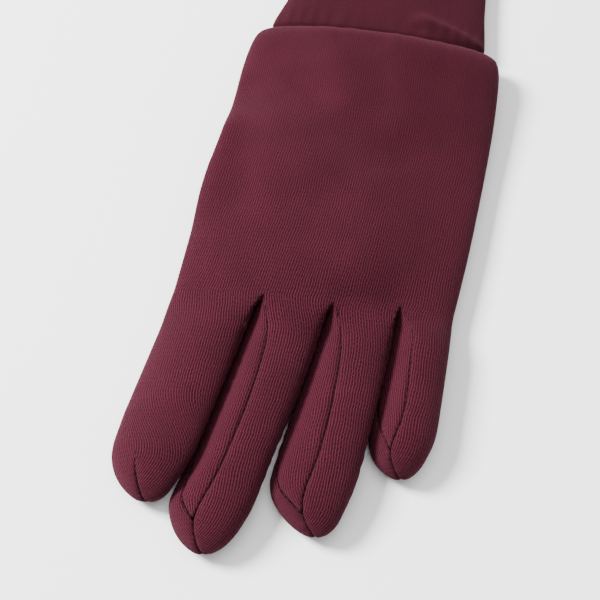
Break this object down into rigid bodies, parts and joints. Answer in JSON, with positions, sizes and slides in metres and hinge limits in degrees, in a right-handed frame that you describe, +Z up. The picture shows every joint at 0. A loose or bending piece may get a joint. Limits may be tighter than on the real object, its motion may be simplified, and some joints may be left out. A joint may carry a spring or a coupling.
{
  "type": "glove liner",
  "caption": "Thin knitted glove liner for a left hand, lying palm down with its thumb folded under the palm, its slim fingers closed by side strips and its long plain cuff open at the wrist.",
  "frame": {"origin": "middle of the glove's footprint on the surface that it lies on", "axes": "+Y along the glove from fingertips to cuff, +X towards the little finger's side, +Z up from the palm side to the back"},
  "size_m": [0.0996, 0.2664, 0.0205],
  "materials": {
    "jersey": "fine brushed wool jersey, burgundy",
    "cuff_jersey": "double layer of fine brushed wool jersey, burgundy"
  },
  "bodies": {
    "root": {"trank_back": "jersey", "trank_palm": "jersey", "fourchette_index_middle": "jersey", "fourchette_middle_ring": "jersey", "fourchette_ring_little": "jersey", "thumb": "jersey", "cuff": "cuff_jersey"}
  },
  "joints": []
}
